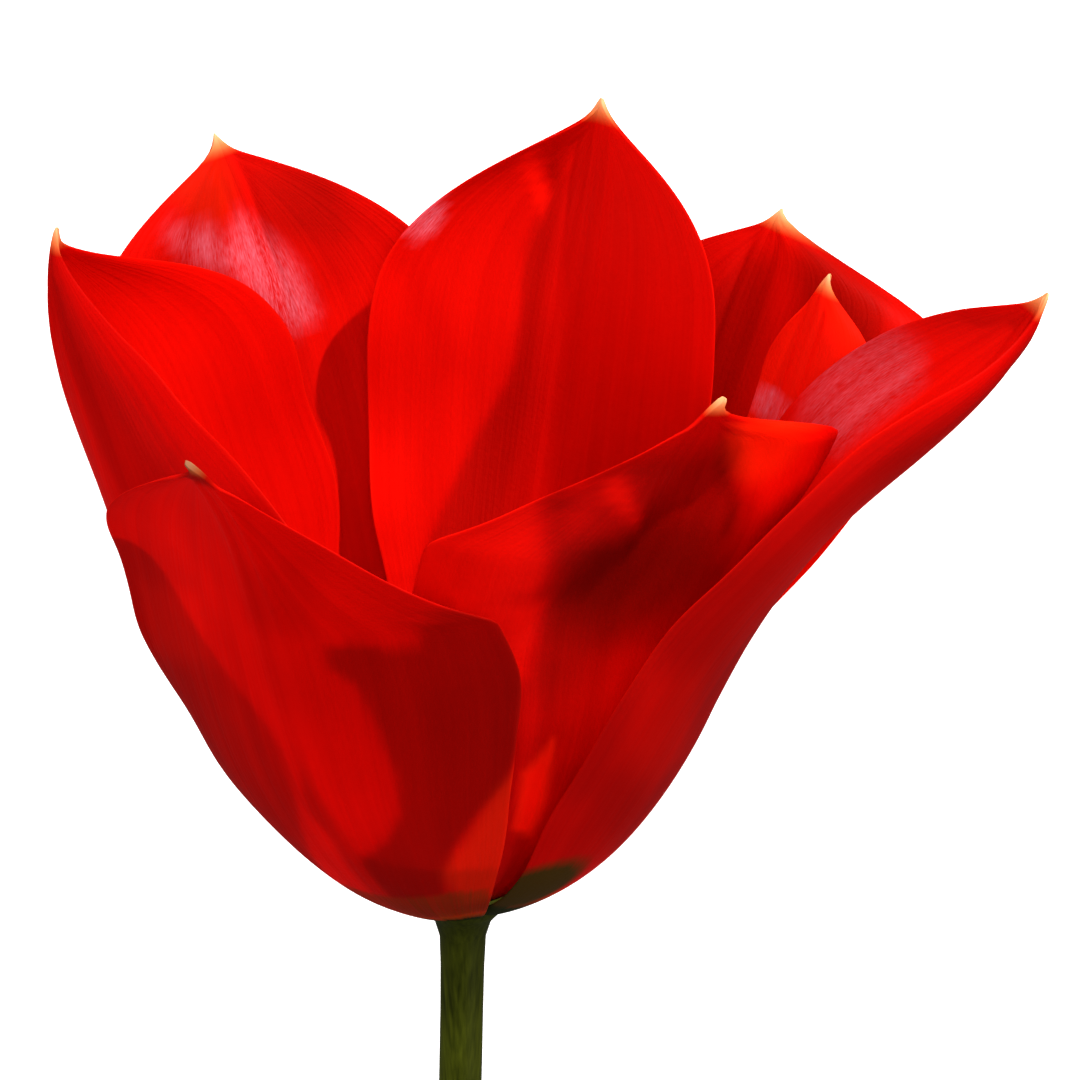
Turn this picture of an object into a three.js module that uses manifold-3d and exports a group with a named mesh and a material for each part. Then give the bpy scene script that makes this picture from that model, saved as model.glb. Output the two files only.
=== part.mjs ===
// A red tulip, cut and lying on two of its back tepals and the cut end of its stem.
// The flower is built in a frame of its own: +Z runs up its axis from the top of the stem,
// -Y is the side that faces up once it is laid down, and azimuth 0 is +X, 90 is +Y.
// Lengths are millimetres and angles are degrees.
import * as THREE from 'three';
import Module from 'manifold-3d';

const wasm = await Module();
wasm.setup();

// Driving dimensions
const BLOOM_TILT = 8.11; // the bloom's axis points this far up from the surface
const BLOOM_ROLL = -1.33; // the flower's turn about its own axis
const STEM_LENGTH = 200;
const STEM_RADIUS = 2.6;
const STEM_SWAY = -7; // how far the stem's foot stands to one side
const STEM_SWAY_POWER = 1.3; // over 1 bends the stem, 1 keeps it straight
const TEPAL_THICKNESS = 0.8;
const MARGIN_THICKNESS = 0.6;
const TIP_HALF_WIDTH = 0.5; // the small blunt point that ends each tepal
const POINTEDNESS = 1.25; // over 1 draws the flanks of each tip in
const CREASE = [0, 0, 10]; // how far both sides fold inward at the midrib, claw to tip
const NO_ROLL = [[0], [0]];
const WAVE_HEIGHT = 0.5; // the margins' slow waves, in and out
const WAVE_LENGTH = 27;
const WAVE_SHIFT = 120; // how far the waves of one margin lag behind those of the one before
const WAVE_REACH = 3; // over 1 keeps the waves close to the margin
const WAVE_FADE = 0.5; // under 1 keeps them strong until close to the claw and the tip
const ROLL_REACH = 4; // over 1 keeps a roll close to the margin

// Where the claws of the two whorls stand on the receptacle
const OUTER = { radius: 5.6, height: 1.2 };
const INNER = { radius: 4.4, height: 2.6 };

// The receptacle and the stem below it: heights on the bloom's axis and radii
const RECEPTACLE = [
  [-14, 2.6], [-8, 2.65], [-4, 2.8], [-1.6, 3.5], [-0.2, 4.7], [0.7, 5.3], [1.5, 5.25],
  [1.75, 4.1], [2.9, 4.05],
];

// One stamen, from its swollen foot to the tip of its anther: height, reach from the
// bloom's axis, and half widths across and towards the axis
const STAMEN_COUNT = 6;
const STAMEN = [
  [3.2, 3.0, 2.2, 0.85], [4.6, 3.1, 2.2, 0.85], [6.0, 3.7, 1.1, 0.8], [9, 4.8, 0.8, 0.65],
  [11.5, 5.6, 0.6, 0.55], [12.5, 5.8, 1.2, 1.0], [14, 6.1, 1.5, 1.25], [20, 7.1, 1.5, 1.25],
  [24.5, 7.9, 1.2, 1.0], [26.5, 8.2, 0.5, 0.5],
];

// The pistil: height, radius, and how far its ridges and the stigma's lobes stand out
const PISTIL_LOBES = 3;
const PISTIL = [
  [3.25, 1.5, 0], [4.8, 1.6, 0], [7, 2.4, 0.04], [10, 2.8, 0.07], [14, 2.8, 0.08],
  [17.5, 2.4, 0.1], [19, 2.3, 0.15], [20.2, 3.2, 0.3], [21.2, 3.5, 0.34], [22, 3.0, 0.3],
];

// Numbers of faces
const LENGTH_STEPS = 24;
const SIDE_STEPS = 7; // from the midrib to each margin
const PATH_SAMPLES = 6; // finer steps inside each length step
const STEM_SIDES = 14;
const STEM_STEPS = 24;
const STAMEN_SIDES = 8;
const PISTIL_SIDES = 18;

// Colour and roughness of each kind of piece
const TEPAL_FINISH = { color: 0xd40d08, roughness: 0.45 };
const STEM_FINISH = { color: 0x4b5a1c, roughness: 0.6 };
const STAMEN_FINISH = { color: 0xd9a92b, roughness: 0.8 };
const PISTIL_FINISH = { color: 0x9fae4e, roughness: 0.5 };

// Each tepal. A list that runs along the blade holds a value at the claw, values on the way,
// and one at the tip, and the tepal bends smoothly between them. The minus side is towards
// lower azimuths.
//   azimuth:  the direction that the blade's back faces
//   lean:     how far the midrib leans out from the bloom's axis
//   sway:     how far the midrib leans sideways, towards the plus side where positive
//   half:     the half widths on the minus side and on the plus side
//   widest:   the share of the length where each side is widest
//   shoulder: how late each side narrows towards the tip
//   cup:      how far each side bends inward from midrib to margin
//   roll:     a further bend close to each margin, inward where positive; left out where none
const TEPALS = [
  {
    name: 'tepal_front_left', whorl: OUTER, length: 88.5,
    azimuth: [246, 242, 232, 226], lean: [70, 36, 8, -4, 44], sway: [-2, -5, -4],
    half: [30.1, 27.8], widest: [0.507, 0.71], shoulder: [4.3, 0.7], claw: 0.17,
    cup: [[30, 60, 35, -10], [20, 58, 69, -6]], roll: [[0, 0, -71], [-14, 5, -12]],
  },
  {
    name: 'tepal_front_right', whorl: INNER, length: 85.5,
    azimuth: [288, 300, 306, 300], lean: [64, 32, 4, 0, 18], sway: [4, 12, 18],
    half: [27.3, 25.2], widest: [0.72, 0.93], shoulder: [0.95, 1.1], claw: 0.13,
    cup: [[18, 55, 80, -31], [80, 131, -2, -12]], roll: [[-11, 9, -38], [-2, 17, 42]],
  },
  {
    name: 'tepal_far_right', whorl: OUTER, length: 103.6,
    azimuth: [322, 335, 365, 388], lean: [66, 43, -26, 42, 92, 14], sway: [7, 26, -15],
    half: [26.4, 21.4], widest: [0.433, 0.51], shoulder: [3.1, 3.7], claw: 0.18,
    cup: [[30, 42, 21, 75, 42], [22, 32, 27, 28]], roll: [[12, -25, 5, 53], [-9, -22, 0]],
  },
  {
    name: 'tepal_small_right', whorl: INNER, length: 86.2,
    azimuth: [42, 39, 34, 32], lean: [68, 36, 34, 4, 22], sway: [0, -14, -4],
    half: [9.4, 4.3], widest: [0.92, 0.85], shoulder: [1.8, 1.35], claw: 0.1,
    cup: [[17, 42, -8, -73], [9, 29, 48, 37]], roll: [[0, 0, -11], [0]],
  },
  {
    name: 'tepal_back_right', whorl: OUTER, length: 92.2,
    azimuth: [56, 61, 61, 58], lean: [74, 42, 16, 0.4, 35], sway: [0, -12, -10.7],
    half: [27.5, 18.8], widest: [0.846, 0.629], shoulder: [6, 3.2], claw: 0.09,
    cup: [[30, 75, 45, -70], [30, 34, 25, 10]],
  },
  {
    name: 'tepal_back_centre', whorl: INNER, length: 98.5,
    azimuth: [80, 74, 68, 66], lean: [68, 30, -6, 19, 6.8], sway: [-2, -5, -4.2],
    half: [22, 24.5], widest: [0.52, 0.702], shoulder: [6, 2.4], claw: 0.07,
    cup: [[30, 40, 25, 10], [30, 38, 43.4, 30]], roll: [[0], [-5, -5, 11]],
  },
  {
    name: 'tepal_back_left', whorl: OUTER, length: 97.7,
    azimuth: [120, 112, 112, 112], lean: [70, 34, 6.8, 2.2, 31.7], sway: [-3, 7.2, 11.8],
    half: [24.4, 26.2], widest: [0.585, 0.558], shoulder: [3.2, 5.8], claw: 0.09,
    cup: [[30, 48, 30, 10], [30, 44, 16, -4]], roll: [[0], [0]],
  },
  {
    name: 'tepal_far_left', whorl: INNER, length: 98,
    azimuth: [170, 172, 178, 182], lean: [70, 36, 2, 46, -16], sway: [0, 0, 0],
    half: [34.3, 42], widest: [0.612, 0.54], shoulder: [3.4, 1.8], claw: 0.07,
    cup: [[11, 62, 134, 58], [30, 70, 98, 68]], roll: [[-8, -25, -45], [0,]],
  },
];

// Smooth blend of a list of values, from 0 at its first to 1 at its last
function blend(values, share) {
  let row = values.slice();
  while (row.length > 1) {
    row = row.slice(1).map((next, i) => row[i] + (next - row[i]) * share);
  }
  return row[0];
}

const radians = THREE.MathUtils.degToRad;

// One side's width at a share of the length: a claw, a belly and a pointed end
function sideWidth(tepal, index, share) {
  const belly = tepal.half[index];
  const widest = tepal.widest[index];
  if (share < widest) {
    const rise = Math.sin((share / widest) * Math.PI / 2);
    return belly * (tepal.claw + (1 - tepal.claw) * rise);
  }
  const past = (share - widest) / (1 - widest);
  const narrowing = (1 - past ** tepal.shoulder[index]) ** POINTEDNESS;
  return TIP_HALF_WIDTH + (belly - TIP_HALF_WIDTH) * narrowing;
}

// How far a margin waves inward at a share of the length; none at the claw and the tip
function waveHeight(tepal, index, share) {
  const place = TEPALS.indexOf(tepal) * 2 + index;
  const turn = radians(share * tepal.length / WAVE_LENGTH * 360 + place * WAVE_SHIFT);
  return WAVE_HEIGHT * Math.sin(turn) * Math.sin(share * Math.PI) ** WAVE_FADE;
}

// The midrib: points along it, each with the directions along, across and into the bloom
function midribFrames(tepal) {
  const count = LENGTH_STEPS * PATH_SAMPLES;
  const start = radians(tepal.azimuth[0]);
  const point = new THREE.Vector3(Math.cos(start), Math.sin(start), 0)
    .multiplyScalar(tepal.whorl.radius)
    .setZ(tepal.whorl.height);
  const frames = [];
  for (let i = 0; i <= count; i += 1) {
    const share = i / count;
    const lean = radians(blend(tepal.lean, share));
    const azimuth = radians(blend(tepal.azimuth, share));
    const turn = new THREE.Matrix4().makeRotationZ(azimuth);
    const along = new THREE.Vector3(Math.sin(lean), 0, Math.cos(lean)).applyMatrix4(turn);
    const inward = new THREE.Vector3(-Math.cos(lean), 0, Math.sin(lean)).applyMatrix4(turn);
    const across = new THREE.Vector3(0, 1, 0).applyMatrix4(turn);
    const sway = radians(blend(tepal.sway, share));
    along.applyAxisAngle(inward, sway);
    across.applyAxisAngle(inward, sway);
    if (i > 0) point.addScaledVector(along, tepal.length / count);
    if (i % PATH_SAMPLES === 0) frames.push({ share, point: point.clone(), across, inward });
  }
  return frames;
}

// One row of points across the blade, from the minus margin to the plus margin
function bladeRow(tepal, frame) {
  const row = new Array(2 * SIDE_STEPS + 1);
  row[SIDE_STEPS] = frame.point.clone();
  const crease = radians(blend(CREASE, frame.share));
  [-1, 1].forEach((side, index) => {
    const half = sideWidth(tepal, index, frame.share);
    const cup = radians(blend(tepal.cup[index], frame.share));
    const roll = radians(blend((tepal.roll ?? NO_ROLL)[index], frame.share));
    const wave = waveHeight(tepal, index, frame.share);
    const spot = frame.point.clone();
    const count = SIDE_STEPS * PATH_SAMPLES;
    for (let i = 1; i <= count; i += 1) {
      const out = (i - 0.5) / count;
      const bend = crease + cup * out + roll * out ** ROLL_REACH;
      spot.addScaledVector(frame.across, side * Math.cos(bend) * half / count);
      spot.addScaledVector(frame.inward, Math.sin(bend) * half / count);
      if (i % PATH_SAMPLES === 0) {
        const waved = spot.clone().addScaledVector(frame.inward, wave * (i / count) ** WAVE_REACH);
        row[SIDE_STEPS + side * i / PATH_SAMPLES] = waved;
      }
    }
  });
  return row;
}

// Blade thickness at a column of the grid, thinner towards both margins
function bladeThickness(column, columns) {
  const middle = (columns - 1) / 2;
  const side = Math.abs(column - middle) / middle;
  return TEPAL_THICKNESS + (MARGIN_THICKNESS - TEPAL_THICKNESS) * side ** 2;
}

// The blade's direction outward at one point of the grid
function bladeNormal(rows, r, c) {
  const nearest = (list, index) => list[Math.min(Math.max(index, 0), list.length - 1)];
  const along = nearest(rows, r + 1)[c].clone().sub(nearest(rows, r - 1)[c]);
  const over = nearest(rows[r], c + 1).clone().sub(nearest(rows[r], c - 1));
  return over.cross(along).normalize();
}

// Indices of the grid's points round its border
function borderOf(count, columns) {
  const border = [];
  for (let c = 0; c < columns - 1; c += 1) border.push(c);
  for (let r = 0; r < count - 1; r += 1) border.push(r * columns + columns - 1);
  for (let c = columns - 1; c > 0; c -= 1) border.push((count - 1) * columns + c);
  for (let r = count - 1; r > 0; r -= 1) border.push(r * columns);
  return border;
}

// A grid of points as a closed blade, with the same triangles on its two faces
function bladeGeometry(rows) {
  const columns = rows[0].length;
  const face = (half) => rows.flatMap((row, r) => row.map((point, c) =>
    point.clone().addScaledVector(bladeNormal(rows, r, c), half * bladeThickness(c, columns))));
  const points = [...face(-0.5), ...face(0.5)];
  const other = rows.length * columns;
  const faces = [];
  for (let r = 0; r < rows.length - 1; r += 1) {
    for (let c = 0; c < columns - 1; c += 1) {
      const a = r * columns + c;
      const [b, d, e] = [a + 1, a + columns, a + columns + 1];
      faces.push(a, e, b, a, d, e);
      faces.push(...[a, b, e, a, e, d].map((index) => index + other));
    }
  }
  const border = borderOf(rows.length, columns);
  border.forEach((here, i) => {
    const next = border[(i + 1) % border.length];
    faces.push(here, next, next + other, here, next + other, here + other);
  });
  return closedGeometry(points.flatMap((point) => point.toArray()), faces);
}

// Points and triangles as a geometry
function closedGeometry(positions, faces) {
  const geometry = new THREE.BufferGeometry();
  geometry.setAttribute('position', new THREE.Float32BufferAttribute(positions, 3));
  geometry.setIndex(faces);
  geometry.computeVertexNormals();
  return geometry;
}

function mesh(name, geometry, finish) {
  const made = new THREE.Mesh(geometry, new THREE.MeshStandardMaterial({ ...finish, metalness: 0 }));
  made.name = name;
  return made;
}

// Rings of points stacked along the bloom's axis, closed at both ends
function columnGeometry(rings) {
  const sides = rings[0].length;
  const positions = rings.flat().flatMap((point) => point.toArray());
  const faces = [];
  rings.slice(1).forEach((_, r) => {
    for (let i = 0; i < sides; i += 1) {
      const next = (i + 1) % sides;
      const [a, b] = [r * sides + i, r * sides + next];
      faces.push(a, b, b + sides, a, b + sides, a + sides);
    }
  });
  const cap = (ring, first, reversed) => {
    const middle = positions.length / 3;
    const centre = ring.reduce((sum, p) => sum.add(p), new THREE.Vector3()).divideScalar(sides);
    positions.push(...centre.toArray());
    for (let i = 0; i < sides; i += 1) {
      const [a, b] = [first + i, first + (i + 1) % sides];
      faces.push(...(reversed ? [middle, b, a] : [middle, a, b]));
    }
  };
  cap(rings[0], 0, true);
  cap(rings[rings.length - 1], (rings.length - 1) * sides, false);
  return closedGeometry(positions, faces);
}

// A level ring of points; radius is a function of the angle
function levelRing(sides, height, radius) {
  return Array.from({ length: sides }, (_, i) => {
    const angle = (i / sides) * 2 * Math.PI;
    const reach = radius(angle);
    return new THREE.Vector3(reach * Math.cos(angle), reach * Math.sin(angle), height);
  });
}

// How far the stem's middle stands to the side at a height below the bloom
function stemSway(height) {
  const share = Math.min(height / -STEM_LENGTH, 1);
  return share > 0 ? STEM_SWAY * share ** STEM_SWAY_POWER : 0;
}

function stemGeometry() {
  const top = RECEPTACLE[0][0];
  const below = Array.from({ length: STEM_STEPS }, (_, i) => [
    -STEM_LENGTH + (i / STEM_STEPS) * (STEM_LENGTH + top), STEM_RADIUS,
  ]);
  const rings = [...below, ...RECEPTACLE].map(([height, radius]) =>
    levelRing(STEM_SIDES, height, () => radius)
      .map((point) => point.setX(point.x + stemSway(height))));
  return columnGeometry(rings);
}

function pistilGeometry() {
  const rings = PISTIL.map(([height, radius, ridge]) =>
    levelRing(PISTIL_SIDES, height, (angle) => radius * (1 + ridge * Math.cos(PISTIL_LOBES * angle))));
  return columnGeometry(rings);
}

// A closed geometry as a solid that can be joined to others
function solid(geometry) {
  const vertProperties = new Float32Array(geometry.attributes.position.array);
  const triVerts = new Uint32Array(geometry.index.array);
  return new wasm.Manifold(new wasm.Mesh({ numProp: 3, vertProperties, triVerts }));
}

// The stamens, joined where their swollen feet meet
function stamensGeometry() {
  const rings = STAMEN.map(([height, reach, across, deep]) =>
    Array.from({ length: STAMEN_SIDES }, (_, i) => {
      const angle = (i / STAMEN_SIDES) * 2 * Math.PI;
      return new THREE.Vector3(reach + deep * Math.cos(angle), across * Math.sin(angle), height);
    }));
  const stamen = columnGeometry(rings);
  const stamens = Array.from({ length: STAMEN_COUNT }, (_, i) =>
    solid(stamen.clone().rotateZ((i / STAMEN_COUNT) * 2 * Math.PI)));
  const joined = stamens.reduce((all, next) => all.add(next)).getMesh();
  return closedGeometry(Array.from(joined.vertProperties), Array.from(joined.triVerts));
}

// The flower laid down: turned so that its lowest points share one level, set on that level
function laidDown(flower) {
  flower.rotation.set(radians(BLOOM_TILT - 90), 0, radians(BLOOM_ROLL));
  flower.updateMatrixWorld(true);
  const box = new THREE.Box3().setFromObject(flower, true);
  const middle = box.getCenter(new THREE.Vector3());
  flower.position.set(-middle.x, -middle.y, -box.min.z);
  return flower;
}

const flower = new THREE.Group();
TEPALS.forEach((tepal) => {
  const rows = midribFrames(tepal).map((frame) => bladeRow(tepal, frame));
  flower.add(mesh(tepal.name, bladeGeometry(rows), TEPAL_FINISH));
});
flower.add(mesh('stem', stemGeometry(), STEM_FINISH));
flower.add(mesh('stamens', stamensGeometry(), STAMEN_FINISH));
flower.add(mesh('pistil', pistilGeometry(), PISTIL_FINISH));

const tulip = new THREE.Group();
tulip.add(laidDown(flower));
export default tulip;
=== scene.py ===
# %% [markdown]
# # A red tulip, cut and laid down
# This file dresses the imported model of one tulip: eight tepals, a stem, the stamens and the pistil.
# Every cell models or finishes one thing. Lengths are typed in millimetres, because a flower is
# measured in millimetres, and become metres when they reach Blender.

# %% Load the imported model
import bpy
import math
from mathutils import Matrix, Vector, noise


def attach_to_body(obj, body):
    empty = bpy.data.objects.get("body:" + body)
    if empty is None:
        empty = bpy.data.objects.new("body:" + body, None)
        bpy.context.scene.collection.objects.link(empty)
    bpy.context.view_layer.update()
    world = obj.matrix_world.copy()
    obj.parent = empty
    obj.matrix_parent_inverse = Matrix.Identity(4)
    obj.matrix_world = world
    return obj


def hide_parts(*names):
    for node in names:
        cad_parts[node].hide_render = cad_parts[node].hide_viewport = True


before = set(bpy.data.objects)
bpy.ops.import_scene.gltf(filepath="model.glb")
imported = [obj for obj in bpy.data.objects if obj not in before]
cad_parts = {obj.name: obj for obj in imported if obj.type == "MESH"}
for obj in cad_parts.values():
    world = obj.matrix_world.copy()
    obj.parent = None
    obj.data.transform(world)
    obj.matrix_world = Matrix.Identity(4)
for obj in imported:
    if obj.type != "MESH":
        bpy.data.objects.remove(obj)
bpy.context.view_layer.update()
MM = 0.001
print("nodes:", ", ".join(sorted(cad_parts)))

# %% [markdown]
# ## The flower's own frame
# A bloom is easiest to describe standing up: +Z runs up its axis from the top of the stem, azimuth 0
# is to the right and azimuth 270 is towards the viewer. The flower lies on a surface, so everything
# is made standing and one matrix lays it down. It could be turned afterwards with an object's
# rotation, but the finished objects have to stay unturned, so the matrix goes into the vertices.

# %% The matrix that lays the flower down
BLOOM_TILT = 8.11  # degrees that the bloom's axis points up from the surface
BLOOM_ROLL = -1.33  # degrees that the flower is turned about its own axis
STEM_TOP = Vector((-10.03, 52.304, 30.904))  # where the stem's top lies, mm

tilted = Matrix.Rotation(math.radians(BLOOM_TILT - 90), 4, "X")
turn = tilted @ Matrix.Rotation(math.radians(BLOOM_ROLL), 4, "Z")
LAID = Matrix.Translation(STEM_TOP * MM) @ turn @ Matrix.Scale(MM, 4)
print("stem top at", tuple(round(c, 4) for c in LAID.translation))

# %% [markdown]
# ## Camera
# The photo looks a little down into the bloom. Laid down, the bloom turns its photographed side up,
# so the camera looks down at the surface from nearly overhead. A long lens keeps the lines calm, as
# in the photo.

# %% Camera at the photo's angle
PHOTO_ELEVATION = math.radians(24)  # how far above the bloom's mouth the photo was taken from
CAMERA_DISTANCE = 750  # mm
AIM = (9.24, 43.8)  # what the middle of the photo shows: mm right of and up from the stem's top
LENS = 208.3  # mm on a sensor 36 mm wide
NEAREST_SEEN = 0.05  # m

right = Vector((1, 0, 0))
ahead = Vector((0, math.cos(PHOTO_ELEVATION), -math.sin(PHOTO_ELEVATION)))
up = right.cross(ahead)
place = right * AIM[0] + up * AIM[1] - ahead * CAMERA_DISTANCE
facing = turn @ Matrix((right, up, -ahead)).transposed().to_4x4()

camera = bpy.data.objects.new("camera", bpy.data.cameras.new("camera"))
bpy.context.scene.collection.objects.link(camera)
camera.data.lens = LENS
camera.data.clip_start = NEAREST_SEEN
camera.matrix_world = Matrix.Translation(LAID @ place) @ facing
bpy.context.scene.camera = camera
print("camera at", tuple(round(c, 3) for c in camera.location))

# %% [markdown]
# ## Helpers for the pieces
# Blender's operators act on whatever is selected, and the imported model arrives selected, so each
# piece starts from an empty selection.

# %% Small helpers for every piece
def deselect():
    """Leave object mode with nothing selected."""
    if bpy.context.object and bpy.context.object.mode != "OBJECT":
        bpy.ops.object.mode_set(mode="OBJECT")
    bpy.ops.object.select_all(action="DESELECT")


def pick(piece):
    """Make one piece the only selected and active one."""
    deselect()
    piece.select_set(True)
    bpy.context.view_layer.objects.active = piece


def finish_modifier(piece, kind, **settings):
    """Add a modifier to a piece with its settings and apply it."""
    pick(piece)
    modifier = piece.modifiers.new(kind.lower(), kind)
    for name, value in settings.items():
        setattr(modifier, name, value)
    bpy.ops.object.modifier_apply(modifier=modifier.name)


def attach(piece, material, slot, *nodes):
    """Give a piece its material and its place in the frame."""
    piece.data.materials.clear()
    piece.data.materials.append(material)
    pick(piece)
    bpy.ops.object.shade_smooth()
    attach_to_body(piece, "root")
    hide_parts(*nodes)
    print(piece.name, "has", len(piece.data.polygons), "faces")

# %% [markdown]
# ## Helpers for the materials
# A material is a chain of nodes, and a few steps come back in every one: blend two colours, draw a
# soft noise, spread a value over another range. Each of them gets a function here. Colours are picked
# as on a screen, and one function turns them into the linear light that a shader works with.

# %% Start a material and add its nodes
def start_material(name):
    """A new material and its empty node tree."""
    made = bpy.data.materials.new(name)
    made.use_nodes = True
    made.node_tree.nodes.clear()
    return made, made.node_tree


def linear(code):
    """A screen colour such as "#c81006" as linear red, green, blue and alpha."""
    parts = [int(code[i:i + 2], 16) / 255 for i in (1, 3, 5)]
    return (*[c / 12.92 if c < 0.04045 else ((c + 0.055) / 1.055) ** 2.4 for c in parts], 1)


def add(tree, kind, inputs=None, **settings):
    """Add a node with its settings; an input is a value or another node's output."""
    node = tree.nodes.new(kind)
    for name, value in settings.items():
        setattr(node, name, value)
    for name, value in (inputs or {}).items():
        if isinstance(value, bpy.types.NodeSocket):
            tree.links.new(value, node.inputs[name])
        else:
            node.inputs[name].default_value = value
    return node

# %% [markdown]
# ## Blending, noise and ramps
# Each of these adds one step to the chain and hands back its output, so a material reads from the
# inside out, as a sum does. Wiring the nodes by hand in the shader editor gives the same tree.

# %% Steps that come back in every material
MIX_FIRST, MIX_SECOND, MIX_RESULT = 6, 7, 2  # the colour sockets of a Mix node


def mixed(tree, share, first, second):
    """Blend two colours; each is a screen colour or another node's output."""
    first, second = (linear(c) if isinstance(c, str) else c for c in (first, second))
    inputs = {"Factor": share, MIX_FIRST: first, MIX_SECOND: second}
    return add(tree, "ShaderNodeMix", inputs, data_type="RGBA").outputs[MIX_RESULT]


def speckle(tree, place, scale, detail):
    """A soft noise; a scale of three numbers draws it out in one direction."""
    if isinstance(scale, tuple):
        place = add(tree, "ShaderNodeMapping", {"Vector": place, "Scale": scale}).outputs["Vector"]
        scale = 1
    inputs = {"Vector": place, "Scale": scale, "Detail": detail}
    return add(tree, "ShaderNodeTexNoise", inputs).outputs["Fac"]


def ranged(tree, value, low, high, to_low=0, to_high=1):
    """Spread what lies between low and high over another range."""
    inputs = {"Value": value, "From Min": low, "From Max": high, "To Min": to_low, "To Max": to_high}
    return add(tree, "ShaderNodeMapRange", inputs).outputs["Result"]


def reckon(tree, operation, *values):
    """One step of arithmetic, such as ADD or MULTIPLY_ADD."""
    return add(tree, "ShaderNodeMath", dict(enumerate(values)), operation=operation).outputs["Value"]


def painted_on(tree, attribute):
    """A value that is stored on the vertices."""
    return add(tree, "ShaderNodeAttribute", attribute_name=attribute).outputs["Fac"]


def ramp(tree, value, start, middle, middle_at, end):
    """Three screen colours along a value that runs from 0 to 1."""
    node = add(tree, "ShaderNodeValToRGB", {"Fac": value})
    stops = node.color_ramp.elements
    stops[0].position, stops[0].color = 0, linear(start)
    stops[1].position, stops[1].color = 1, linear(end)
    stops.new(middle_at).color = linear(middle)
    return node.outputs["Color"]

# %% [markdown]
# ## Tepal skin: the grain
# A tulip's tepal is a sheet of living cells well under a millimetre thick. Its scarlet pigment lies in
# the skin on both faces, light passes right through, and the cells run in rows from the claw to the
# tip. A picture of a petal could be wrapped on, but it would carry one flower's light with it. Here
# the tepal's own UV map drives everything: U runs across the blade, V from claw to tip. The first
# step draws the patterns that the colours and the relief share.

# %% Tepal skin: streaks, bands and clouds
# How often a pattern repeats across the blade and along it. A blade is 50 mm wide and 90 mm long.
VEIN_ROWS = (90, 3, 1)
BANDS = (16, 1.2, 1)
GLINT_GRAINS = (240, 80, 1)
CLOUD_SIZE = 25 * MM
CELL_SIZE = 0.5 * MM  # larger than real cells, so that they show at all


def blade_grain(tree):
    """The patterns of a blade by name, and where a point lies on it."""
    uv = add(tree, "ShaderNodeUVMap", uv_map="UVMap").outputs["UV"]
    place = add(tree, "ShaderNodeTexCoord").outputs["Object"]
    across, along, _ = add(tree, "ShaderNodeSeparateXYZ", {"Vector": uv}).outputs
    return {"across": across, "along": along,
            "streak": speckle(tree, uv, VEIN_ROWS, 3),
            "band": speckle(tree, uv, BANDS, 2),
            "painted_glint": speckle(tree, uv, GLINT_GRAINS, 3),
            "cloud": speckle(tree, place, 1 / CLOUD_SIZE, 2),
            "cells": speckle(tree, place, 1 / CELL_SIZE, 1)}

# %% [markdown]
# ## Tepal skin: the colours
# The pigment gives fine streaks of two reds, deeper on the outer face: partly the outside's own duller
# red, and partly painted shade of the faces turned away from the light. Orange is painted light where
# the sun shines through the blade, and pink grains are painted highlights where it glances off. The
# claw is olive where it grips the stem, then yellow and orange, and the small fleshy tip is cream. Each
# layer is a function that takes the colour so far and paints over it, as a painter glazes. The coats
# that say where to paint come from the vertices. They are typed further down.

# %% Tepal skin: pigment and painted highlights
def pigment(tree, grain):
    """Streaks of scarlet, brightened with painted light where the coats pale and tone say so."""
    streaks = reckon(tree, "MULTIPLY_ADD", grain["streak"], 0.6, grain["band"])
    depth = ranged(tree, reckon(tree, "ADD", streaks, grain["cloud"]), 0.9, 1.7)
    # the outer face's deeper red: partly its own duller red, partly painted shade of the side turned
    # from the light
    inside = mixed(tree, depth, "#cc0400", "#e60a01")
    outside = mixed(tree, depth, "#ac0200", "#c60501")
    red = mixed(tree, painted_on(tree, "outer_face"), inside, outside)
    # painted light: orange where the sun would shine through the blade
    orange = reckon(tree, "MULTIPLY", painted_on(tree, "pale"), 0.6)
    red = mixed(tree, orange, red, "#fb3a0a")
    # painted light: bright red where the coat tone is below 0
    thin = ranged(tree, painted_on(tree, "tone"), 0, -1)
    return mixed(tree, thin, red, "#ff1202")


def painted_glints(tree, grain, red):
    """Painted pink highlights in grains and rows, for glints where the light glances off."""
    grains = reckon(tree, "MULTIPLY_ADD", grain["band"], 0.8, grain["painted_glint"])
    glinting = ranged(tree, grains, 0.68, 1.15, 0.05, 1.05)
    # painted highlight: the pink stands for light glancing off the skin
    return mixed(tree, reckon(tree, "MULTIPLY", glinting, painted_on(tree, "painted_glint")), red, "#f2849a")

# %% [markdown]
# ## Tepal skin: where the red ends
# The red pales a little along both margins and gives way to the claw below and to the tip above. These
# places are the same on every blade, so U and V find them. Coats from the vertices add the rest.

# %% Tepal skin: margin, claw and tip
def margined(tree, grain, red):
    """A slightly paler line along both margins, where the pigment thins out."""
    side = reckon(tree, "ABSOLUTE", reckon(tree, "SUBTRACT", grain["across"], 0.5))
    return mixed(tree, ranged(tree, side, 0.488, 0.5, 0, 0.06), red, "#e0280c")


def clawed(tree, grain, red):
    """The claw, ragged along the bands, and the olive that the coat green takes further up, partly the
    base's own olive and partly painted shade.
    """
    ragged = reckon(tree, "MULTIPLY", grain["band"], 0.07)
    claw = ranged(tree, reckon(tree, "SUBTRACT", grain["along"], ragged), 0.02, 0.11)
    red = mixed(tree, claw, ramp(tree, claw, "#262a06", "#a84a0c", 0.4, "#c81604"), red)
    # coat green: the base's own olive, and painted shade where the base turns from the light
    torn = reckon(tree, "MULTIPLY_ADD", grain["streak"], 0.4, painted_on(tree, "green"))
    return mixed(tree, ranged(tree, torn, 0.4, 0.95), red, "#4a340b")


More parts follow.
